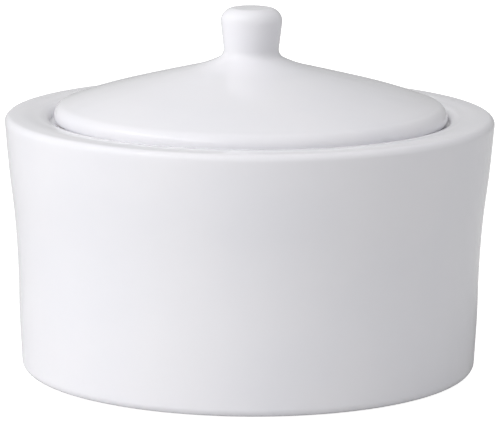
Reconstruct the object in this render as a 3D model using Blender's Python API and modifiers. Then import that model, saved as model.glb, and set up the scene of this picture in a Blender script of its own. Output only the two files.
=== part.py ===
"""Porcelain sugar bowl: a round, slightly flared bowl and the domed lid that rests inside its rim."""

import math

import bpy
from mathutils import Vector

MM = 0.001
SEGMENTS = 72  # facets round each turned piece
SHARP_EDGE = 40.0  # degrees, the least angle that is shaded as an edge
CURVE_STEPS = 2  # facets between neighbouring points of a smooth curve
MERGE_DISTANCE = 0.00001  # metres, where a turned outline meets the axis
GLAZE_COLOUR = (0.84, 0.84, 0.88)
GLAZE_ROUGHNESS = 0.15

# Bowl, in millimetres. Radii are measured from the vertical axis, heights from the table.
RIM_RADIUS = 52.5
RIM_HEIGHT = 55.3
RIM_ROUNDING = 1.5
RIM_WIDEST_HEIGHT = RIM_HEIGHT - 1.65
RIM_SLOPE = 9.0  # degrees, where the crowned top meets the rounding
RIM_INNER_HEIGHT = RIM_HEIGHT - 0.2
GALLERY_RADIUS = 42.8
GALLERY_ROLL_WIDTH = 3.0  # the rim rolls down to the ledge along a quarter of an ellipse
GALLERY_ROLL_DEPTH = 1.5
LEDGE_HEIGHT = 53.4
THROAT_RADIUS = 38.8
THROAT_ROUNDING = 1.0
INNER_WALL_RADIUS = 44.3
INNER_CORNER = 10.0
INNER_FLOOR_HEIGHT = 7.0
BASE_CORNER = 1.8
WALL_RADIUS_LOW = 49.0
FOOT_OUTER_RADIUS = WALL_RADIUS_LOW - BASE_CORNER
FOOT_INNER_RADIUS = 42.6
FOOT_RECESS_RADIUS = 41.1
FOOT_RECESS_HEIGHT = 2.4
# The broad top of the rim is slightly crowned, from the gallery outwards: (radius, height).
RIM_TOP_INNER = (GALLERY_RADIUS + GALLERY_ROLL_WIDTH, RIM_INNER_HEIGHT)
RIM_TOP = (RIM_TOP_INNER, (48.4, RIM_HEIGHT))
# The outer wall is nearly upright low down and flares towards the rim: (radius, height).
OUTER_WALL_TOP = (RIM_RADIUS, RIM_WIDEST_HEIGHT)
OUTER_WALL_BOTTOM = (WALL_RADIUS_LOW, BASE_CORNER)
OUTER_WALL = (
    OUTER_WALL_TOP,
    (51.6, 43.4),
    (50.4, 32.9),
    (49.75, 22.4),
    (49.5, 11.9),
    OUTER_WALL_BOTTOM,
)
# Inside, the wall draws in under the ledge: (radius, height).
INNER_NECK = ((INNER_WALL_RADIUS, 33.0), (43.6, 39.5), (41.3, 45.3), (39.2, 50.0))

# Lid, in millimetres, in the place where it rests.
LID_RADIUS = 42.2
LID_EDGE_HEIGHT = RIM_HEIGHT - 0.5
LID_EDGE_ROUNDING = 2.9
LID_EDGE_SLOPE = 24.0  # degrees, where the rounding meets the domed top
LID_SEAT_HEIGHT = LEDGE_HEIGHT + 0.3
LID_SEAT_ROUNDING = 0.9
LID_SEAT_INNER_RADIUS = 39.7
# The domed top from the knob outwards, and the hollow underside from the seat inwards.
LID_TOP = (
    (9.0, RIM_HEIGHT + 11.15),
    (12.0, RIM_HEIGHT + 10.1),
    (16.5, RIM_HEIGHT + 8.95),
    (24.0, RIM_HEIGHT + 7.05),
    (31.5, RIM_HEIGHT + 5.05),
    (37.0, RIM_HEIGHT + 3.35),
)
LID_UNDERSIDE = (
    (39.0, 54.1),
    (36.5, 55.2),
    (30.5, 56.9),
    (20.5, 59.6),
    (10.0, 61.9),
    (4.0, 62.8),
    (0.0, 63.0),
)

# Knob, in millimetres.
KNOB_TOP_HEIGHT = RIM_HEIGHT + 22.8
KNOB_HEAD_RADIUS = 6.6
KNOB_HEAD_ROUNDING = 2.9
KNOB_WAIST_RADIUS = 5.9
KNOB_WAIST_HEIGHT = RIM_HEIGHT + 13.9
KNOB_FILLET = 2.1
KNOB_FILLET_SLOPE = 27.0  # degrees, where the fillet runs out into the domed top


def arc(centre, radius, start, end, steps):
    """Points of an arc from one angle to another, in degrees, both ends included."""
    points = []
    for step in range(steps + 1):
        angle = math.radians(start + (end - start) * step / steps)
        points.append((centre[0] + radius * math.cos(angle), centre[1] + radius * math.sin(angle)))
    return points


def curve(points):
    """A smooth curve through the given points."""
    first = tuple(2 * a - b for a, b in zip(points[0], points[1]))
    last = tuple(2 * a - b for a, b in zip(points[-1], points[-2]))
    padded = [Vector(point) for point in (first, *points, last)]
    result = [points[0]]
    for before, start, end, after in zip(padded, padded[1:], padded[2:], padded[3:]):
        leaving = (end - before) / 2
        arriving = (after - start) / 2
        for step in range(1, CURVE_STEPS + 1):
            t = step / CURVE_STEPS
            eased = 3 * t**2 - 2 * t**3
            turn = leaving * (t - 2 * t**2 + t**3) + arriving * (t**3 - t**2)
            result.append(tuple(start + (end - start) * eased + turn))
    return result


def bowl_outline():
    """From the middle of the floor inside, up and over the rim, down to the middle of the underside."""
    roll_centre = (RIM_TOP_INNER[0], RIM_INNER_HEIGHT - GALLERY_ROLL_DEPTH)
    roll = [
        (roll_centre[0] + GALLERY_ROLL_WIDTH * x, roll_centre[1] + GALLERY_ROLL_DEPTH * y)
        for x, y in arc((0.0, 0.0), 1.0, 180, 90, 5)
    ]
    throat_edge = (THROAT_RADIUS + THROAT_ROUNDING, LEDGE_HEIGHT - THROAT_ROUNDING)
    inner_corner = (INNER_WALL_RADIUS - INNER_CORNER, INNER_FLOOR_HEIGHT + INNER_CORNER)
    rim_edge = (RIM_RADIUS - RIM_ROUNDING, RIM_WIDEST_HEIGHT)
    rounding = arc(rim_edge, RIM_ROUNDING, 90 - RIM_SLOPE, 0, 6)
    return [
        (0.0, INNER_FLOOR_HEIGHT),
        *arc(inner_corner, INNER_CORNER, -90, 0, 7),
        *curve(INNER_NECK),
        *arc(throat_edge, THROAT_ROUNDING, 180, 90, 3),
        (GALLERY_RADIUS, LEDGE_HEIGHT),
        *roll[:-1],
        *curve((*RIM_TOP, rounding[0])),
        *rounding[1:-1],
        *curve(OUTER_WALL),
        *arc((FOOT_OUTER_RADIUS, BASE_CORNER), BASE_CORNER, 0, -90, 5)[1:],
        (FOOT_INNER_RADIUS, 0.0),
        (FOOT_RECESS_RADIUS, FOOT_RECESS_HEIGHT),
        (0.0, FOOT_RECESS_HEIGHT),
    ]


def lid_outline():
    """From the middle of the knob's top, down and out over the lid, to the middle of its underside."""
    knob_head = (KNOB_HEAD_RADIUS - KNOB_HEAD_ROUNDING, KNOB_TOP_HEIGHT - KNOB_HEAD_ROUNDING)
    knob_fillet = (KNOB_WAIST_RADIUS + KNOB_FILLET, KNOB_WAIST_HEIGHT)
    lid_edge = (LID_RADIUS - LID_EDGE_ROUNDING, LID_EDGE_HEIGHT)
    lid_seat = (LID_RADIUS - LID_SEAT_ROUNDING, LID_SEAT_HEIGHT + LID_SEAT_ROUNDING)
    fillet = arc(knob_fillet, KNOB_FILLET, 180, 270 - KNOB_FILLET_SLOPE, 4)
    edge = arc(lid_edge, LID_EDGE_ROUNDING, 90 - LID_EDGE_SLOPE, 0, 5)
    top = curve((fillet[-1], *LID_TOP, edge[0]))
    return [
        (0.0, KNOB_TOP_HEIGHT),
        *arc(knob_head, KNOB_HEAD_ROUNDING, 90, 0, 5),
        *fillet,
        *top[1:-1],
        *edge,
        *arc(lid_seat, LID_SEAT_ROUNDING, 0, -90, 3),
        (LID_SEAT_INNER_RADIUS, LID_SEAT_HEIGHT),
        *curve(LID_UNDERSIDE),
    ]


def glaze(name):
    """Glossy clear glaze on white porcelain."""
    result = bpy.data.materials.new(name)
    result.use_nodes = True
    shader = result.node_tree.nodes["Principled BSDF"]
    shader.inputs["Base Color"].default_value = (*GLAZE_COLOUR, 1.0)
    shader.inputs["Roughness"].default_value = GLAZE_ROUGHNESS
    shader.inputs["Metallic"].default_value = 0.0
    return result


def turned(name, outline, origin_height, collection):
    """A solid of revolution about the vertical axis, with its origin on that axis."""
    mesh = bpy.data.meshes.new(name)
    vertices = [(radius * MM, 0.0, (height - origin_height) * MM) for radius, height in outline]
    edges = [(index, index + 1) for index in range(len(vertices) - 1)]
    mesh.from_pydata(vertices, edges, [])
    piece = bpy.data.objects.new(name, mesh)
    piece.location = (0.0, 0.0, origin_height * MM)
    collection.objects.link(piece)
    screw = piece.modifiers.new("Turn", "SCREW")
    screw.axis = "Z"
    screw.angle = math.tau
    screw.steps = SEGMENTS
    screw.render_steps = SEGMENTS
    screw.use_merge_vertices = True
    screw.merge_threshold = MERGE_DISTANCE
    graph = bpy.context.evaluated_depsgraph_get()
    solid = bpy.data.meshes.new_from_object(piece.evaluated_get(graph))
    piece.modifiers.clear()
    piece.data = solid
    bpy.data.meshes.remove(mesh)
    solid.name = name
    solid.materials.append(glaze(name + "_glaze"))
    solid.shade_smooth()
    solid.set_sharp_from_angle(angle=math.radians(SHARP_EDGE))


def build():
    for old in list(bpy.data.objects):
        bpy.data.objects.remove(old, do_unlink=True)
    collection = bpy.data.collections.new("sugar_bowl")
    bpy.context.scene.collection.children.link(collection)
    turned("bowl", bowl_outline(), 0.0, collection)
    turned("lid", lid_outline(), LID_SEAT_HEIGHT, collection)


build()
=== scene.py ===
import math

import bpy
from mathutils import Matrix, Vector


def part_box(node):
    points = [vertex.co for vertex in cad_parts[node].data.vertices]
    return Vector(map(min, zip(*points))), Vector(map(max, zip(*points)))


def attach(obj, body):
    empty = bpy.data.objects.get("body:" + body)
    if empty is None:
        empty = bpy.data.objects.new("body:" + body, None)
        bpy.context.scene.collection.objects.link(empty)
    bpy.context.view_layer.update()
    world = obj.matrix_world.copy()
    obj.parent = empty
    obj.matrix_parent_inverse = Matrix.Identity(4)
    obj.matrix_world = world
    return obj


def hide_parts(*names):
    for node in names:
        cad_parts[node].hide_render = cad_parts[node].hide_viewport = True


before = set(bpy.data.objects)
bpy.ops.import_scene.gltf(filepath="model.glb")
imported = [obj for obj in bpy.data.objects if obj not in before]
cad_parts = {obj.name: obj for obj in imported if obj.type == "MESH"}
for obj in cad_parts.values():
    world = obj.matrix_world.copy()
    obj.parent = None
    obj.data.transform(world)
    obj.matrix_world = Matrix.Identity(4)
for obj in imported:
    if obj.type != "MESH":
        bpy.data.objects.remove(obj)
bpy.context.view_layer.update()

BOWL_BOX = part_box("bowl")
LID_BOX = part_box("lid")

MM = 0.001
SEGMENTS = 288  # facets round each turned piece
POINT_STEP = 0.7  # millimetres between the points of a curved outline
TURN_STEP = 7.5  # degrees between the points of a rounded edge

# Bowl, in millimetres from the turning axis and from the table.
RIM_RADIUS = BOWL_BOX[1].x / MM
RIM_HEIGHT = BOWL_BOX[1].z / MM
RIM_ROUNDING = 1.5
RIM_WIDEST_HEIGHT = RIM_HEIGHT - 1.65
RIM_SLOPE = 9.0  # degrees, where the crowned top meets the rounding
RIM_INNER_HEIGHT = RIM_HEIGHT - 0.2
GALLERY_RADIUS = 42.8
GALLERY_ROLL_WIDTH = 3.0  # the rim rolls down to the ledge along a quarter of an ellipse
GALLERY_ROLL_DEPTH = 1.5
GALLERY_CORNER = 0.15
LEDGE_HEIGHT = 53.4
THROAT_RADIUS = 38.8
THROAT_ROUNDING = 1.0
INNER_WALL_RADIUS = 44.3
INNER_CORNER = 10.0
INNER_FLOOR_HEIGHT = 7.0
BASE_CORNER = 1.8
WALL_RADIUS_LOW = 49.0
FOOT_INNER_RADIUS = 42.6
FOOT_RECESS_RADIUS = 41.1
FOOT_RECESS_HEIGHT = 2.4
FOOT_EDGE_ROUNDING = 0.5
FOOT_EDGE_TURN = 65.0  # degrees, from the flat ring to the slope inside it
RECESS_CORNER = 1.0
RECESS_CORNER_START = 15.0  # degrees above the horizontal
# The broad top of the rim is slightly crowned, from the gallery outwards: (radius, height).
RIM_TOP = (
    (GALLERY_RADIUS + GALLERY_ROLL_WIDTH, RIM_INNER_HEIGHT),
    (48.4, RIM_HEIGHT),
)
# The outer wall is nearly upright low down and flares towards the rim: (radius, height).
OUTER_WALL = (
    (RIM_RADIUS, RIM_WIDEST_HEIGHT),
    (51.6, 43.4),
    (50.4, 32.9),
    (49.75, 22.4),
    (49.5, 11.9),
    (WALL_RADIUS_LOW, BASE_CORNER),
)
# Inside, the wall draws in under the ledge: (radius, height).
INNER_NECK = ((INNER_WALL_RADIUS, 33.0), (43.6, 39.5), (41.3, 45.3), (39.2, 50.0))

# Lid, in millimetres, where it rests.
LID_RADIUS = LID_BOX[1].x / MM
LID_SEAT_HEIGHT = LID_BOX[0].z / MM
LID_PLAY = (0.22, -0.3)  # the loose lid lies this far to the right and to the front in the rim
LID_EDGE_HEIGHT = RIM_HEIGHT - 0.5
LID_EDGE_ROUNDING = 2.9
LID_EDGE_SLOPE = 24.0  # degrees, where the rounding meets the domed top
LID_SEAT_ROUNDING = 0.9
LID_SEAT_INNER_RADIUS = 39.7
# The domed top from the knob outwards, and the hollow underside from the seat inwards.
LID_TOP = (
    (9.0, RIM_HEIGHT + 11.15),
    (12.0, RIM_HEIGHT + 10.1),
    (16.5, RIM_HEIGHT + 8.95),
    (24.0, RIM_HEIGHT + 7.05),
    (31.5, RIM_HEIGHT + 5.05),
    (37.0, RIM_HEIGHT + 3.35),
)
LID_UNDERSIDE = (
    (39.0, 54.1),
    (36.5, 55.2),
    (30.5, 56.9),
    (20.5, 59.6),
    (10.0, 61.9),
    (4.0, 62.8),
    (0.0, 63.0),
)

# Knob, in millimetres.
KNOB_TOP_HEIGHT = LID_BOX[1].z / MM
KNOB_HEAD_RADIUS = 6.6
KNOB_HEAD_ROUNDING = 2.9
KNOB_WAIST_RADIUS = 5.9
KNOB_WAIST_HEIGHT = RIM_HEIGHT + 13.9
KNOB_FILLET = 2.1
KNOB_FILLET_SLOPE = 27.0  # degrees, where the fillet runs out into the domed top

# Camera: metres, degrees and millimetres of lens.
CAMERA_DISTANCE = 0.7952
CAMERA_ELEVATION = 11.119
CAMERA_CENTRE = Vector((0.0, 0.0, 0.0281))
CAMERA_AIM = Vector((0.0002, 0.0, 0.03342))
CAMERA_ROLL = 0.4272
CAMERA_LENS = 265.1
CAMERA_SENSOR = 36.0
CAMERA_CLIP = (0.05, 50.0)

# Light. Azimuths run from the camera's side of the bowl towards its right, in degrees.
LIGHT_CENTRE = Vector((0.0, 0.0, 0.04))
SURROUND_LOBES = (  # azimuth, elevation, strength of a broad soft glow from that side
    (90.0, 0.0, 1.01),
    (0.0, 90.0, 0.58),
    (-135.0, 0.0, 0.52),
    (180.0, 0.0, 0.37),
    (0.0, 0.0, 0.25),
)
SOFTBOXES = (  # name, azimuth, elevation, metres away, width, height, watts, seen in the glaze
    ("key_strip", -62.0, 43.0, 1.6, 1.8, 0.10, 4.2, True),
    ("key", -60.0, 42.0, 1.6, 1.2, 0.8, 4.8, False),
    ("key_low", -66.0, 15.0, 1.6, 1.0, 0.4, 6.7, False),
    ("front_high", -30.0, 60.0, 1.6, 0.9, 0.35, 4.3, False),
    ("front_fill", -30.0, 42.0, 1.6, 0.9, 0.35, 2.9, False),
)
FLOOR_SIDE = 4.0  # metres from the middle to each side
FLOOR_DROP = 0.0002  # metres, so that the foot's flat ring lies clear of it
FLOOR_GLOW = 0.93
FLOOR_SHADED = (0.5, 0.5, 0.5, 1.0)  # what the camera sees on top of the glow
FLOOR_BOUNCE = (0.75, 0.75, 0.75, 1.0)  # what the bowl receives

# Porcelain: colours, and sizes in millimetres. A noise's scale is in waves per metre.
GLAZE = (0.845, 0.838, 0.872, 1.0)
GLAZE_DEEP = (0.825, 0.822, 0.862, 1.0)
BISCUIT = (0.80, 0.775, 0.735, 1.0)
BISCUIT_DARK = (0.73, 0.70, 0.66, 1.0)
GLAZE_ROUGHNESS = (0.07, 0.12)
GLAZE_IOR = 1.5
BISCUIT_ROUGHNESS = 0.55  # more than the glaze has
POOL_SCALE = 38.0
POOL_RANGE = (0.35, 0.7)
GLOSS_SCALE = 160.0
GLOSS_RANGE = (0.3, 0.75)
WANDER_DETAIL = 3.0
EDGE_SCALE = 420.0
EDGE_RAGGEDNESS = 0.5
EDGE_SOFTNESS = 0.08
SWELL_SCALE = 55.0
SWELL_HEIGHT = 0.03
PEEL_SCALE = 420.0
PEEL_HEIGHT = 0.0012
GRAIN_SCALE = 2600.0
GRAIN_HEIGHT = 0.03
# Bare bands, where a piece stands on its foot or touches its seat: (radius, height, half widths).
FOOT_BAND = (44.9, 0.0, 2.6, 0.3)
LEDGE_BAND = (40.2, LEDGE_HEIGHT, 1.2, 0.3)
SEAT_BAND = (40.2, LID_SEAT_HEIGHT, 0.9, 0.3)


def arc(centre, radius, start, end):
    """Points of an arc from one angle to another, in degrees, both ends included."""
    steps = max(2, round(abs(end - start) / TURN_STEP))
    points = []
    for step in range(steps + 1):
        angle = math.radians(start + (end - start) * step / steps)
        points.append((centre[0] + radius * math.cos(angle), centre[1] + radius * math.sin(angle)))
    return points


def curve(points):
    """A smooth curve through the given points, in steps of about POINT_STEP."""
    first = tuple(2 * a - b for a, b in zip(points[0], points[1]))
    last = tuple(2 * a - b for a, b in zip(points[-1], points[-2]))
    padded = [Vector(point) for point in (first, *points, last)]
    result = [points[0]]
    for before, start, end, after in zip(padded, padded[1:], padded[2:], padded[3:]):
        leaving = (end - before) / 2
        arriving = (after - start) / 2
        steps = max(2, round((end - start).length / POINT_STEP))
        for step in range(1, steps + 1):
            t = step / steps
            eased = 3 * t**2 - 2 * t**3
            turn = leaving * (t - 2 * t**2 + t**3) + arriving * (t**3 - t**2)
            result.append(tuple(start + (end - start) * eased + turn))
    return result


def bowl_outline():
    """From the middle of the floor inside, up and over the rim, down to the middle of the underside."""
    roll_centre = (GALLERY_RADIUS + GALLERY_ROLL_WIDTH, RIM_INNER_HEIGHT - GALLERY_ROLL_DEPTH)
    roll = [
        (roll_centre[0] + GALLERY_ROLL_WIDTH * x, roll_centre[1] + GALLERY_ROLL_DEPTH * y)
        for x, y in arc((0.0, 0.0), 1.0, 180, 90)
    ]
    gallery_corner = (GALLERY_RADIUS - GALLERY_CORNER, LEDGE_HEIGHT + GALLERY_CORNER)
    throat_edge = (THROAT_RADIUS + THROAT_ROUNDING, LEDGE_HEIGHT - THROAT_ROUNDING)
    inner_corner = (INNER_WALL_RADIUS - INNER_CORNER, INNER_FLOOR_HEIGHT + INNER_CORNER)
    rim_edge = (RIM_RADIUS - RIM_ROUNDING, RIM_WIDEST_HEIGHT)
    rounding = arc(rim_edge, RIM_ROUNDING, 90 - RIM_SLOPE, 0)
    foot_edge = (FOOT_INNER_RADIUS + FOOT_EDGE_ROUNDING, FOOT_EDGE_ROUNDING)
    recess_corner = (FOOT_RECESS_RADIUS - RECESS_CORNER, FOOT_RECESS_HEIGHT - RECESS_CORNER)
    return [
        (0.0, INNER_FLOOR_HEIGHT),
        *arc(inner_corner, INNER_CORNER, -90, 0),
        *curve(INNER_NECK),
        *arc(throat_edge, THROAT_ROUNDING, 180, 90),
        *arc(gallery_corner, GALLERY_CORNER, -90, 0),
        *roll[:-1],
        *curve((*RIM_TOP, rounding[0])),
        *rounding[1:-1],
        *curve(OUTER_WALL),
        *arc((WALL_RADIUS_LOW - BASE_CORNER, BASE_CORNER), BASE_CORNER, 0, -90)[1:],
        *arc(foot_edge, FOOT_EDGE_ROUNDING, -90, -90 - FOOT_EDGE_TURN),
        *arc(recess_corner, RECESS_CORNER, RECESS_CORNER_START, 90),
        (0.0, FOOT_RECESS_HEIGHT),
    ]


def lid_outline():
    """From the middle of the knob's top, down and out over the lid, to the middle of its underside."""
    knob_head = (KNOB_HEAD_RADIUS - KNOB_HEAD_ROUNDING, KNOB_TOP_HEIGHT - KNOB_HEAD_ROUNDING)
    knob_fillet = (KNOB_WAIST_RADIUS + KNOB_FILLET, KNOB_WAIST_HEIGHT)
    lid_edge = (LID_RADIUS - LID_EDGE_ROUNDING, LID_EDGE_HEIGHT)
    lid_seat = (LID_RADIUS - LID_SEAT_ROUNDING, LID_SEAT_HEIGHT + LID_SEAT_ROUNDING)
    head = arc(knob_head, KNOB_HEAD_ROUNDING, 90, 0)
    fillet = arc(knob_fillet, KNOB_FILLET, 180, 270 - KNOB_FILLET_SLOPE)
    edge = arc(lid_edge, LID_EDGE_ROUNDING, 90 - LID_EDGE_SLOPE, 0)
    top = curve((fillet[-1], *LID_TOP, edge[0]))
    stem = curve((head[-1], fillet[0]))
    return [
        (0.0, KNOB_TOP_HEIGHT),
        *head,
        *stem[1:-1],
        *fillet,
        *top[1:-1],
        *edge,
        *arc(lid_seat, LID_SEAT_ROUNDING, 0, -90),
        (LID_SEAT_INNER_RADIUS, LID_SEAT_HEIGHT),
        *curve(LID_UNDERSIDE),
    ]


def turned(name, outline, shift=(0.0, 0.0)):
    """A closed solid of revolution about a vertical axis that lies shift millimetres off the middle."""
    rings = outline[1:-1]
    vertices = [(shift[0] * MM, shift[1] * MM, outline[0][1] * MM)]
    for radius, height in rings:
        for segment in range(SEGMENTS):
            angle = math.tau * segment / SEGMENTS
            x, y = radius * math.cos(angle) + shift[0], radius * math.sin(angle) + shift[1]
            vertices.append((x * MM, y * MM, height * MM))
    vertices.append((shift[0] * MM, shift[1] * MM, outline[-1][1] * MM))
    last = len(vertices) - 1
    faces = []
    for segment in range(SEGMENTS):
        following = (segment + 1) % SEGMENTS
        faces.append((0, 1 + following, 1 + segment))
        for ring in range(len(rings) - 1):
            above = 1 + ring * SEGMENTS
            below = above + SEGMENTS
            faces.append((above + segment, above + following, below + following, below + segment))
        lowest = 1 + (len(rings) - 1) * SEGMENTS
        faces.append((lowest + segment, lowest + following, last))
    mesh = bpy.data.meshes.new(name)
    mesh.from_pydata(vertices, [], faces)
    if mesh.polygons[0].normal.z < 0:
        mesh.flip_normals()
    mesh.shade_smooth()
    mesh.validate()
    piece = bpy.data.objects.new(name, mesh)
    bpy.context.scene.collection.objects.link(piece)
    return piece


class Nodes:
    """Short spellings for building a material's node tree."""

    def __init__(self, name):
        self.material = bpy.data.materials.new(name)
        self.material.use_nodes = True
        self.tree = self.material.node_tree
        self.shader = self.tree.nodes["Principled BSDF"]
        self.coordinates = self.add("ShaderNodeTexCoord").outputs["Object"]

    def add(self, kind, **settings):
        node = self.tree.nodes.new(kind)
        for key, value in settings.items():
            setattr(node, key, value)
        return node

    def link(self, source, target):
        if hasattr(source, "is_output"):
            self.tree.links.new(source, target)
        else:
            target.default_value = source

    def math(self, operation, *values):
        node = self.add("ShaderNodeMath", operation=operation)
        for value, target in zip(values, node.inputs):
            self.link(value, target)
        return node.outputs[0]

    def noise(self, scale, detail=2.0, roughness=0.5):
        node = self.add("ShaderNodeTexNoise")
        node.inputs["Scale"].default_value = scale
        node.inputs["Detail"].default_value = detail
        node.inputs["Roughness"].default_value = roughness
        self.link(self.coordinates, node.inputs["Vector"])
        return node.outputs["Fac"]

    def ramp(self, value, low, high, to_low=0.0, to_high=1.0):
        node = self.add("ShaderNodeMapRange", interpolation_type="SMOOTHSTEP")
        for source, target in zip((value, low, high, to_low, to_high), node.inputs):
            self.link(source, target)
        return node.outputs[0]

    def mix(self, factor, first, second):
        node = self.add("ShaderNodeMix", data_type="RGBA")
        self.link(factor, node.inputs["Factor"])
        self.link(first, node.inputs[6])
        self.link(second, node.inputs[7])
        return node.outputs[2]


def porcelain(name, *bare_bands):
    """White porcelain under a clear glaze, which leaves the given bands bare."""
    nodes = Nodes(name)
    split = nodes.add("ShaderNodeSeparateXYZ")
    nodes.link(nodes.coordinates, split.inputs[0])
    x, y, z = split.outputs
    squares = nodes.math("ADD", nodes.math("MULTIPLY", x, x), nodes.math("MULTIPLY", y, y))
    radius = nodes.math("SQRT", squares)
    wander = nodes.math("SUBTRACT", nodes.noise(EDGE_SCALE, WANDER_DETAIL), 0.5)
    ragged = nodes.math("MULTIPLY", wander, EDGE_RAGGEDNESS * MM)
    bare = 0.0
    for band_radius, band_height, half_width, half_height in bare_bands:
        across = nodes.math("ABSOLUTE", nodes.math("SUBTRACT", radius, band_radius * MM))
        along = nodes.math("ABSOLUTE", nodes.math("SUBTRACT", z, band_height * MM))
        outside = nodes.math(
            "MAXIMUM",
            nodes.math("SUBTRACT", across, half_width * MM),
            nodes.math("SUBTRACT", along, half_height * MM),
        )
        edge = nodes.math("ADD", outside, ragged)
        band = nodes.ramp(edge, -EDGE_SOFTNESS * MM, EDGE_SOFTNESS * MM, 1.0, 0.0)
        bare = nodes.math("MAXIMUM", bare, band)
    pooled = nodes.ramp(nodes.noise(POOL_SCALE, WANDER_DETAIL), *POOL_RANGE)
    glaze = nodes.mix(pooled, GLAZE, GLAZE_DEEP)
    grain = nodes.noise(GRAIN_SCALE)
    biscuit = nodes.mix(grain, BISCUIT, BISCUIT_DARK)
    nodes.link(nodes.mix(bare, glaze, biscuit), nodes.shader.inputs["Base Color"])
    gloss = nodes.ramp(nodes.noise(GLOSS_SCALE, WANDER_DETAIL), *GLOSS_RANGE, *GLAZE_ROUGHNESS)
    roughness = nodes.math("ADD", gloss, nodes.math("MULTIPLY", bare, BISCUIT_ROUGHNESS))
    nodes.link(roughness, nodes.shader.inputs["Roughness"])
    nodes.shader.inputs["Metallic"].default_value = 0.0
    nodes.shader.inputs["IOR"].default_value = GLAZE_IOR
    swell = nodes.math("MULTIPLY", nodes.noise(SWELL_SCALE, 0.0), SWELL_HEIGHT * MM)
    peel = nodes.math("MULTIPLY", nodes.noise(PEEL_SCALE, 0.0), PEEL_HEIGHT * MM)
    tooth = nodes.math("MULTIPLY", nodes.math("MULTIPLY", grain, bare), GRAIN_HEIGHT * MM)
    relief = nodes.math("ADD", nodes.math("ADD", swell, peel), tooth)
    bump = nodes.add("ShaderNodeBump")
    bump.inputs["Strength"].default_value = 1.0
    bump.inputs["Distance"].default_value = 1.0
    nodes.link(relief, bump.inputs["Height"])
    nodes.link(bump.outputs[0], nodes.shader.inputs["Normal"])
    return nodes.material


def direction(azimuth, elevation):
    """From the bowl outwards; azimuth 0 is the camera's side and 90 the right-hand side."""
    a, e = math.radians(azimuth), math.radians(elevation)
    return Vector((math.sin(a) * math.cos(e), -math.cos(a) * math.cos(e), math.sin(e)))


def softbox(name, azimuth, elevation, distance, width, height, power, shine):
    data = bpy.data.lights.new(name, "AREA")
    data.shape = "RECTANGLE"
    data.size = width
    data.size_y = height
    data.energy = power
    light = bpy.data.objects.new(name, data)
    out = direction(azimuth, elevation)
    light.location = LIGHT_CENTRE + out * distance
    light.rotation_euler = out.to_track_quat("Z", "Y").to_euler()
    light.visible_glossy = shine
    bpy.context.scene.collection.objects.link(light)


def squared_glow(tree, facing):
    """Nothing on the far side, and the square of the cosine on the near side."""
    near = tree.nodes.new("ShaderNodeMath")
    near.operation = "MAXIMUM"
    tree.links.new(facing, near.inputs[0])
    near.inputs[1].default_value = 0.0
    square = tree.nodes.new("ShaderNodeMath")
    square.operation = "MULTIPLY"
    tree.links.new(near.outputs[0], square.inputs[0])
    tree.links.new(near.outputs[0], square.inputs[1])
    return square.outputs[0]


def surround():
    """A soft glow from each side, whose place the camera sees as plain white."""
    world = bpy.data.worlds.new("studio")
    bpy.context.scene.world = world
    world.use_nodes = True
    tree = world.node_tree
    tree.nodes.clear()
    output = tree.nodes.new("ShaderNodeOutputWorld")
    path = tree.nodes.new("ShaderNodeLightPath")
    mix = tree.nodes.new("ShaderNodeMixShader")
    light = tree.nodes.new("ShaderNodeBackground")
    toward = tree.nodes.new("ShaderNodeTexCoord").outputs["Generated"]
    strength = tree.nodes.new("ShaderNodeValue").outputs[0]
    strength.default_value = 0.0
    for azimuth, elevation, glow in SURROUND_LOBES:
        facing = tree.nodes.new("ShaderNodeVectorMath")
        facing.operation = "DOT_PRODUCT"
        facing.inputs[1].default_value = direction(azimuth, elevation)
        tree.links.new(toward, facing.inputs[0])
        added = tree.nodes.new("ShaderNodeMath")
        added.operation = "MULTIPLY_ADD"
        tree.links.new(squared_glow(tree, facing.outputs["Value"]), added.inputs[0])
        added.inputs[1].default_value = glow
        tree.links.new(strength, added.inputs[2])
        strength = added.outputs[0]
    tree.links.new(strength, light.inputs["Strength"])
    shown = tree.nodes.new("ShaderNodeBackground")
    shown.inputs["Color"].default_value = (1.0, 1.0, 1.0, 1.0)
    tree.links.new(path.outputs["Is Camera Ray"], mix.inputs[0])
    tree.links.new(light.outputs[0], mix.inputs[1])
    tree.links.new(shown.outputs[0], mix.inputs[2])
    tree.links.new(mix.outputs[0], output.inputs[0])


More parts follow.
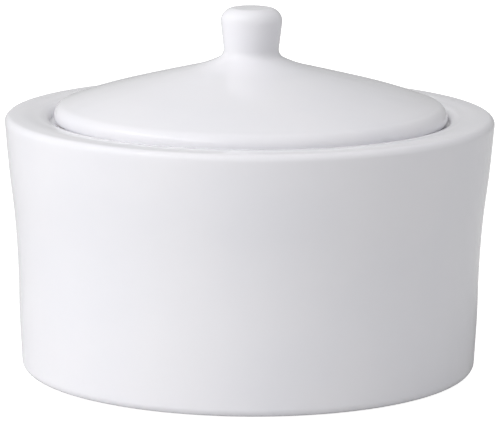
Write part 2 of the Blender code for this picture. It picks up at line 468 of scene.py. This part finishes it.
def pale_floor():
    """A plain white floor that the lights wash out, with a faint contact shadow."""
    mesh = bpy.data.meshes.new("floor")
    turns = ((-1, -1), (1, -1), (1, 1), (-1, 1))
    corners = [(FLOOR_SIDE * x, FLOOR_SIDE * y, 0.0) for x, y in turns]
    mesh.from_pydata(corners, [], [(0, 1, 2, 3)])
    floor = bpy.data.objects.new("floor", mesh)
    floor.location.z = -FLOOR_DROP
    bpy.context.scene.collection.objects.link(floor)
    material = bpy.data.materials.new("floor")
    material.use_nodes = True
    tree = material.node_tree
    tree.nodes.clear()
    output = tree.nodes.new("ShaderNodeOutputMaterial")
    path = tree.nodes.new("ShaderNodeLightPath")
    mix = tree.nodes.new("ShaderNodeMixShader")
    bounce = tree.nodes.new("ShaderNodeBsdfDiffuse")
    bounce.inputs["Color"].default_value = FLOOR_BOUNCE
    add = tree.nodes.new("ShaderNodeAddShader")
    glow = tree.nodes.new("ShaderNodeEmission")
    glow.inputs["Strength"].default_value = FLOOR_GLOW
    lit = tree.nodes.new("ShaderNodeBsdfDiffuse")
    lit.inputs["Color"].default_value = FLOOR_SHADED
    tree.links.new(glow.outputs[0], add.inputs[0])
    tree.links.new(lit.outputs[0], add.inputs[1])
    tree.links.new(path.outputs["Is Camera Ray"], mix.inputs[0])
    tree.links.new(bounce.outputs[0], mix.inputs[1])
    tree.links.new(add.outputs[0], mix.inputs[2])
    tree.links.new(mix.outputs[0], output.inputs[0])
    mesh.materials.append(material)


def camera():
    data = bpy.data.cameras.new("camera")
    data.lens = CAMERA_LENS
    data.sensor_width = CAMERA_SENSOR
    data.clip_start, data.clip_end = CAMERA_CLIP
    result = bpy.data.objects.new("camera", data)
    result.location = CAMERA_CENTRE + direction(0.0, CAMERA_ELEVATION) * CAMERA_DISTANCE
    look = (CAMERA_AIM - result.location).to_track_quat("-Z", "Y").to_matrix()
    roll = Matrix.Rotation(math.radians(CAMERA_ROLL), 3, "Z")
    result.rotation_euler = (look @ roll).to_euler()
    bpy.context.scene.collection.objects.link(result)
    bpy.context.scene.camera = result


camera()
surround()
pale_floor()
for box in SOFTBOXES:
    softbox(*box)
bpy.context.scene.view_settings.view_transform = "Standard"

bowl = turned("porcelain_bowl", bowl_outline())
bowl.data.materials.append(porcelain("bowl_porcelain", FOOT_BAND, LEDGE_BAND))
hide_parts("bowl")
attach(bowl, "bowl_body")

lid = turned("porcelain_lid", lid_outline(), LID_PLAY)
lid.data.materials.append(porcelain("lid_porcelain", SEAT_BAND))
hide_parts("lid")
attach(lid, "lid_body")
